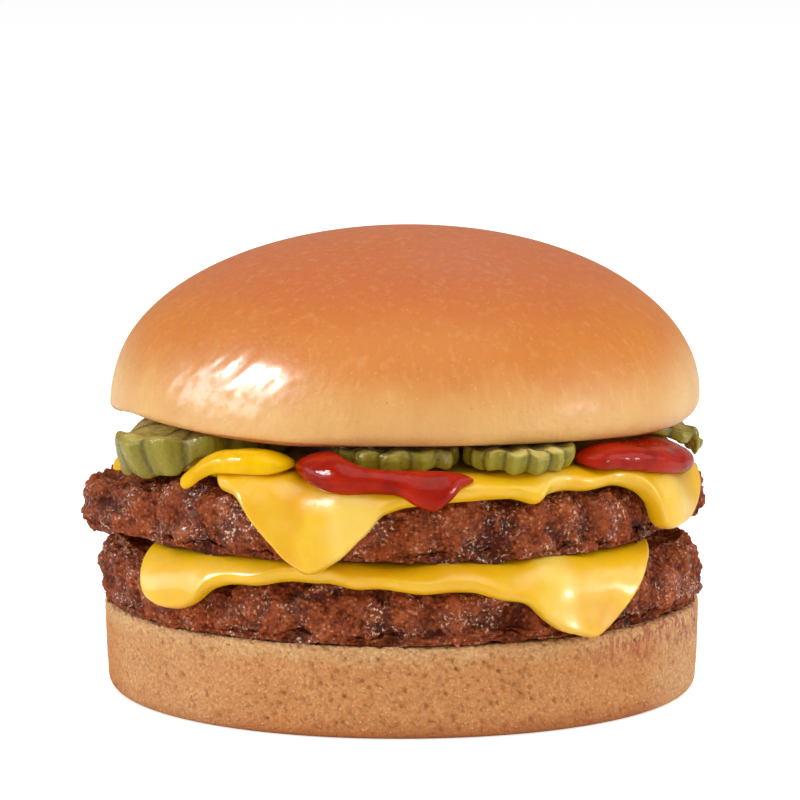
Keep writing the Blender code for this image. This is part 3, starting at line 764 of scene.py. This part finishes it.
def crown(finish):
    power = 2 / CROWN_DOME_POWER
    profile = [(0.0, 2.0)]
    for i in range(1, DOME_ROWS):
        turn = math.radians(90 * (1 - i / DOME_ROWS))
        profile.append((CROWN_RADIUS * math.cos(turn) ** power, 1 + math.sin(turn) ** power))
    profile += arc((CROWN_RADIUS - CROWN_CORNER, 1.0), (CROWN_CORNER, 1.0), 0, -90, 20)
    profile += line(profile[-1], (25, 0), 16) + [(0, 0)]
    tilt = math.radians(CROWN_TILT)

    def glaze(bearing, height):
        return bell((bearing + 37) / 17) * bell((height - 9.5) / 7.5)

    def creases(bearing, height):
        """Slanting creases and dimples of the baked skin, deepest where it is glazed."""
        arc_length = np.radians(bearing) * CROWN_RADIUS
        slanting = np.stack([(height + arc_length) / 8.0, (height - arc_length) / 3.2, 0 * height], axis=-1)
        soft = noise_at(slanting, 1 / MM, (0, 0, 4.0)) + 0.5 * noise_at(slanting, 0.5 / MM, (0, 0, 9.0))
        return soft * (CREASE_LEAST + CREASE_DEPTH * glaze(bearing, height))

    def shape(radius, bearing, level):
        """Level is from 0, underneath, to 1, the widest level, and 2, the top."""
        corner = CROWN_CORNER + CROWN_CORNER_CHANGE * np.sin(np.radians(bearing))
        turning = (level < 1) & (radius > CROWN_RADIUS - CROWN_CORNER - 0.01)
        radius = np.where(turning, CROWN_RADIUS - (CROWN_RADIUS - radius) * corner / CROWN_CORNER, radius)
        height = corner * np.minimum(level, 1) + (CROWN_HEIGHT - corner) * np.maximum(level - 1, 0)
        radius = radius + uneven(radius, bearing, height, 8.0)
        side = np.broadcast_to(bearing, radius.shape)
        radius = radius + creases(side, height) * ease((radius - 20) / 10)
        x, y, z = np.moveaxis(place(bearing, radius, height) / MM, -1, 0)
        x = x + CROWN_LEAN * (z / CROWN_HEIGHT) ** 4
        z = z + ring_curve(CROWN_HEM, bearing) * ease((radius - 42) / 8) * (1 - ease(z / 12))
        across = x * math.cos(tilt) + z * math.sin(tilt) + CROWN_SHIFT
        up = z * math.cos(tilt) - x * math.sin(tilt) + CROWN_LEVEL
        return np.stack([across, y, up], axis=-1) * MM

    made = turned("crown_crust", profile, CROWN_COLUMNS, shape)
    points = points_of(made) / MM
    turn = np.degrees(np.arctan2(points[:, 0], -points[:, 1]))
    height = points[:, 2] - CROWN_LEVEL
    paint(made, "glaze", glaze(turn, height) + 0.4 * bell((turn - 25) / 30) * bell((height - 27) / 3.5))
    # Painted light: marks the lower flanks far to the left and right for the crust's painted highlight from
    # grazing side light.
    paint(made, "pale", (ease((-turn - 46) / 40) + ease((turn - 46) / 30)) * (1 - ease(height / 20)))
    paint(made, "height", height + (points[:, 0] - CROWN_SHIFT) * math.tan(tilt))
    dress(made, "crown", "bun_crust", finish)


# Patties

def crag_depth(points, seed):
    """How far the ground-meat skin lies inside the envelope, in millimetres."""
    lumps = noise_at(points, CRAG_SIZE, (seed, 0, 0))
    crumbs = noise_at(points, CRAG_SIZE / 2.3, (0, seed, 0))
    return CRAG_LEAST + CRAG_DEPTH * (0.42 + 0.42 * lumps + 0.16 * crumbs)


def beef_patty(name, patty, seed, finish, tree):
    normal = patty.outline[0][1]
    shoulder, foot = normal - PATTY_EDGE, normal - PATTY_UNDER_EDGE
    core = normal * 0.6
    thickness = patty.top - patty.bottom
    profile = [(0, thickness)] + line((0, thickness), (core, thickness), 6)
    profile += line(profile[-1], (shoulder, thickness), 22)[:-1]
    profile += arc((shoulder, thickness - PATTY_EDGE), (PATTY_EDGE, PATTY_EDGE), 90, 0, 26)
    profile += line(profile[-1], (normal, PATTY_UNDER_EDGE), 9)[:-1]
    profile += arc((foot, PATTY_UNDER_EDGE), (PATTY_UNDER_EDGE, PATTY_UNDER_EDGE), 0, -90, 22)
    profile += line(profile[-1], (core, 0), 14) + [(0, 0)]

    def shape(radius, bearing, height):
        sideways = ease((radius - core) / (shoulder - core))
        radius = radius + sideways * (ring_curve(patty.outline, bearing) - normal)
        depth = crag_depth(place(bearing, radius, height), seed) * sideways
        inwards = 0.3 + 0.7 * ease((thickness / 2 - abs(height - thickness / 2)) / 0.5)
        upper = ease(height / thickness * 2 - 1)
        lower = ease(1 - height / thickness * 2)
        drop = depth * 0.6 * (upper - lower)
        share = height / thickness
        lift = share * swell(patty.rise, bearing, radius) + (1 - share) * swell(patty.tuck, bearing, radius)
        lift -= (1 - share) * MEAT_SAG * ease((radius - 46) / 5)
        return place(bearing, radius - depth * inwards, patty.bottom + height + lift - drop)

    made = turned(name + "_meat", profile, PATTY_COLUMNS, shape)
    points = points_of(made) / MM
    paint(made, "skin", ease((np.hypot(points[:, 0], points[:, 1]) - core) / 10))
    applied(made, tree, Coarse_Size=6.5, Coarse_Depth=1.9, Fine_Size=1.5, Fine_Depth=0.9, Proud=1.4,
            Seed=seed * MM * 10, Finish=finish)
    dress(made, name, "beef", finish)


# Cheese

def cheese_slice(name, patty, edge, folds, seed, finish):
    """Folds are soft ridges in the hanging part, as (bearing, width in degrees, height)."""
    lip = 1.0  # radius of the rounded rim
    hold = 1.5  # width of the hem that keeps its own shape
    bottom = -1.0  # the melted underside lies in the meat's hollows
    top = SLICE_THICKNESS
    middle = (top + bottom) / 2
    inner = SLICE_RIM - hold
    profile = [(0, top)] + line((0, top), (34, top), 6) + line((34, top), (SLICE_RIM - lip, top), 46)
    profile += arc((SLICE_RIM - lip, middle), (lip, top - middle), 80, -90, 14)
    profile += line(profile[-1], (34, bottom), 30) + [(0, bottom)]
    raised = []  # how far the slice rises at each point, kept as it is shaped

    def shape(radius, bearing, height):
        wave = noise_at(place(bearing, 50.0, 0.0), HEM_WAVE_SIZE, (0, 0, seed))
        reach_at_rim = ring_curve(edge, bearing) + HEM_WAVE * wave
        spread = radius + (np.minimum(radius, inner) / inner) ** 4 * (reach_at_rim - SLICE_RIM)
        bead = SLICE_BEAD * bell((SLICE_RIM - radius - 1.0) / 1.4) * ease((reach_at_rim - 52) / 6)
        hanging = ease((spread - 47) / 4)
        soft = noise_at(place(bearing, spread, 0.0), 9.0, (seed, 0, 0)) * (0.3 + 0.35 * hanging)
        for turn, width, rise in folds:
            soft = soft + rise * bell((bearing - turn) / width) * hanging
        raised.append(np.ravel(soft + 0.2 * bead))
        upper = ease((height - middle) / 0.6)
        return lay(patty, bearing, spread, GAP + height + (bead + soft) * upper, GAP + SLICE_THICKNESS / 2)

    made = turned(name + "_melt", profile, SLICE_COLUMNS, shape)
    # The rise is kept for the finish's painted highlight on raised folds and painted shade in the hollows.
    paint(made, "fold", raised[0])  # the two poles keep 0
    dress(made, name, "cheese", finish)


# Toppings

def pickle_chip(name, chip, finish):
    """A crinkle-cut disc, its ridges running outwards."""
    top = chip.thickness
    side = 0.7
    profile = [(0, top)] + line((0, top), (chip.width - side, top), 44)
    profile += arc((chip.width - side, top / 2), (side, top / 2), 80, -90, 12)
    profile += line(profile[-1], (0.5, 0), 24) + [(0, 0)]

    scallops = round(math.pi * chip.width / chip.pitch)

    def shape(radius, bearing, height):
        angle = np.radians(bearing)
        ragged = 0.3 * noise_at(place(bearing, 10.0, 0.0), 3.0, (chip.bearing, 0, 0))
        cut = (SCALLOP * (1 - np.abs(np.cos(scallops * angle))) + ragged) * ease(radius / chip.width)
        across = (radius - cut) * np.sin(angle)
        outwards = (radius - cut) * np.cos(angle) * chip.depth / chip.width
        turn = math.radians(chip.turn)
        over_ridges = across * math.cos(turn) + outwards * math.sin(turn)
        phase = over_ridges / chip.pitch
        ripple = chip.wave * (1 + np.cos(2 * math.pi * phase))
        x, y = across, chip.reach + outwards
        reach, where = np.hypot(x, y), chip.bearing + np.degrees(np.arctan2(x, y))
        middle = ON_SLICE + chip.thickness / 2
        share = chip.stay * height / chip.thickness
        base = rest_height(where, reach) * (1 - share) + ON_SLICE * share
        flare = FLARE * ease((reach - FLARE_START) / FLARE_LENGTH)
        base = base + share * (flare - CHIP_STIFFNESS * swell(UPPER.rise, where, reach))
        return lay(UPPER, where, reach, base + ripple + height, middle)

    made = turned(name + "_slice", profile, CHIP_COLUMNS, shape)
    ring = np.repeat([point[0] / chip.width for point in profile[1:-1]], CHIP_COLUMNS)
    paint(made, "rim", np.append(ring, [0, 0]))
    # The ridge value is 1 in the middle of each scallop panel and 0 in its grooves; the finish paints a
    # highlight on the panels and shade in the grooves from it.
    angle = np.radians(np.linspace(-180.0, 180.0, CHIP_COLUMNS, endpoint=False))
    paint(made, "ridge", np.append(np.tile(np.abs(np.cos(scallops * angle)), len(profile) - 2), [1, 1]))
    dress(made, name, "pickle", finish)


def sauce_ribbon(name, stations, finish):
    """A domed ribbon of sauce, laid on the slice through its stations."""
    inner, outer, high, under = [[(station[0], station[i]) for station in stations] for i in (1, 2, 3, 4)]
    centre = (stations[0][0] + stations[-1][0]) / 2
    half_span = (stations[-1][0] - stations[0][0]) / 2
    turns = np.radians(np.linspace(0, 90, 30))
    profile = [(math.sin(turn) ** 0.85, 0.1 + 0.9 * math.cos(turn) ** 0.75) for turn in turns]
    profile += line(profile[-1], (0.1, -0.2), 14) + [(0.0, -0.2)]

    def shape(share, angle, height):
        along, across = share * np.sin(np.radians(angle)), share * np.cos(np.radians(angle))
        where = centre + along * half_span
        near, far = ring_curve(inner, where), ring_curve(outer, where)
        ends = np.sqrt(np.maximum(1 - along**6, 0.0))
        narrowed = across / np.sqrt(np.maximum(1 - along**2, 0.01)) * ends
        reach = (near + far) / 2 + narrowed * (far - near) / 2
        soft = 0.93 + 0.07 * noise_at(place(where, reach, 0.0), 4.0, (5, 0, 0))
        flare = FLARE * ease((reach - FLARE_START) / FLARE_LENGTH)
        up = ring_curve(under, where) + height * soft * (ring_curve(high, where) + flare)
        return lay(UPPER, where, reach, up, GAP + SLICE_THICKNESS / 2)

    made = turned(name + "_sauce", profile, SAUCE_COLUMNS, shape)
    dress(made, name, name.split("_")[0], finish)


# Studio

def camera():
    made = bpy.data.objects.new("camera", bpy.data.cameras.new("camera"))
    bpy.context.scene.collection.objects.link(made)
    made.data.lens = LENS
    made.data.sensor_width = SENSOR_WIDTH
    made.data.clip_start, made.data.clip_end = 0.01, 50.0
    rise = math.radians(VIEW_ELEVATION)
    aim = Vector((0, 0, VIEW_HEIGHT)) * MM
    made.location = aim + Vector((0, -math.cos(rise), math.sin(rise))) * VIEW_DISTANCE * MM
    made.rotation_euler = (aim - made.location).to_track_quat("-Z", "Y").to_euler()
    bpy.context.scene.camera = made


def softbox(name, bearing, elevation, distance, width, height, watts, shines=True, lights=True):
    """A soft light that faces the burger. Angles in degrees, lengths in metres. It may be left out of
    reflections, or be there for reflections alone."""
    light = bpy.data.lights.new(name, "AREA")
    light.shape, light.size, light.size_y, light.energy = "RECTANGLE", width, height, watts
    made = bpy.data.objects.new(name, light)
    made.visible_glossy, made.visible_diffuse = shines, lights
    bpy.context.scene.collection.objects.link(made)
    aim = Vector((0, 0, VIEW_HEIGHT)) * MM
    turn, rise = math.radians(bearing), math.radians(elevation)
    outwards = Vector((math.sin(turn) * math.cos(rise), -math.cos(turn) * math.cos(rise), math.sin(rise)))
    made.location = aim + outwards * distance
    made.rotation_euler = (-outwards).to_track_quat("-Z", "Y").to_euler()


def studio():
    softbox("key_left", -77, 18, 0.9, 0.7, 0.42, 3.6)
    softbox("overhead", 20, 74, 1.0, 0.9, 0.9, 5.0)
    softbox("fill_right", 84, 24, 1.0, 0.7, 0.7, 3.4)
    softbox("fill_back", 176, 34, 1.3, 0.9, 0.7, 2.4, shines=False)
    softbox("fill_front", 4, 14, 1.4, 0.9, 0.6, 3.0, shines=False)
    softbox("sparkle_left", -68, 36, 0.9, 0.14, 0.14, 7.0, lights=False)
    softbox("sparkle_right", 70, 6, 0.9, 0.14, 0.14, 3.0, lights=False)
    world = bpy.data.worlds.new("surroundings")
    world.use_nodes = True
    wire = Wiring(world.node_tree)
    background = world.node_tree.nodes["Background"]
    seen = wire.node("ShaderNodeLightPath").outputs["Is Camera Ray"]
    wire.feed(background.inputs["Color"], (1.0, 1.0, 1.0, 1.0))
    wire.feed(background.inputs["Strength"], wire.range(seen, 0.0, 1.0, 0.34, 1.0, smooth=False))
    bpy.context.scene.world = world
    bpy.context.scene.view_settings.view_transform = "Standard"


def floor():
    mesh = bpy.data.meshes.new("floor")
    radius, sides = 4.0, 96
    ring = [(radius * math.cos(2 * math.pi * i / sides), radius * math.sin(2 * math.pi * i / sides), 0.0)
            for i in range(sides)]
    mesh.from_pydata(ring, [], [list(range(sides))])
    made = bpy.data.objects.new("floor", mesh)
    bpy.context.scene.collection.objects.link(made)
    finish = Finish("pale_floor", Roughness=0.6)
    mottle = finish.noise(finish.at, 400.0)
    finish.set(Base_Color=finish.mix(mottle, shown(250, 250, 249), shown(247, 247, 246)))
    seen = finish.node("ShaderNodeLightPath").outputs["Is Camera Ray"]
    finish.set(Emission_Color=finish.mix(seen, (0, 0, 0, 1), (0.62, 0.62, 0.62, 1)))
    finish.shader.inputs["Emission Strength"].default_value = 1.0
    mesh.materials.append(finish.material)


def main():
    camera()
    studio()
    floor()
    meat = relief_tree("ground_meat_relief", ground_meat)
    pores = relief_tree("crumb_pore_relief", crumb_pores)
    beef, cheese, pickle = beef_finish(), cheese_finish(), pickle_finish()
    sauces = {
        "ketchup": sauce_finish("ketchup", shown(182, 36, 6), shown(140, 18, 3), 3.0),
        "mustard": sauce_finish("mustard", shown(246, 196, 0), shown(228, 172, 0), 7.0),
    }
    heel(crumb_finish(), pores)
    beef_patty("lower_patty", LOWER, 11.0, beef, meat)
    cheese_slice("lower_cheese", LOWER, LOWER_SLICE, LOWER_FOLDS, 4.0, cheese)
    beef_patty("upper_patty", UPPER, 27.0, beef, meat)
    cheese_slice("upper_cheese", UPPER, UPPER_SLICE, UPPER_FOLDS, 9.0, cheese)
    for name, chip in CHIPS.items():
        pickle_chip(name, chip, pickle)
    for name, stations in RIBBONS.items():
        sauce_ribbon(name, stations, sauces[name.split("_")[0]])
    crown(crust_finish())


main()
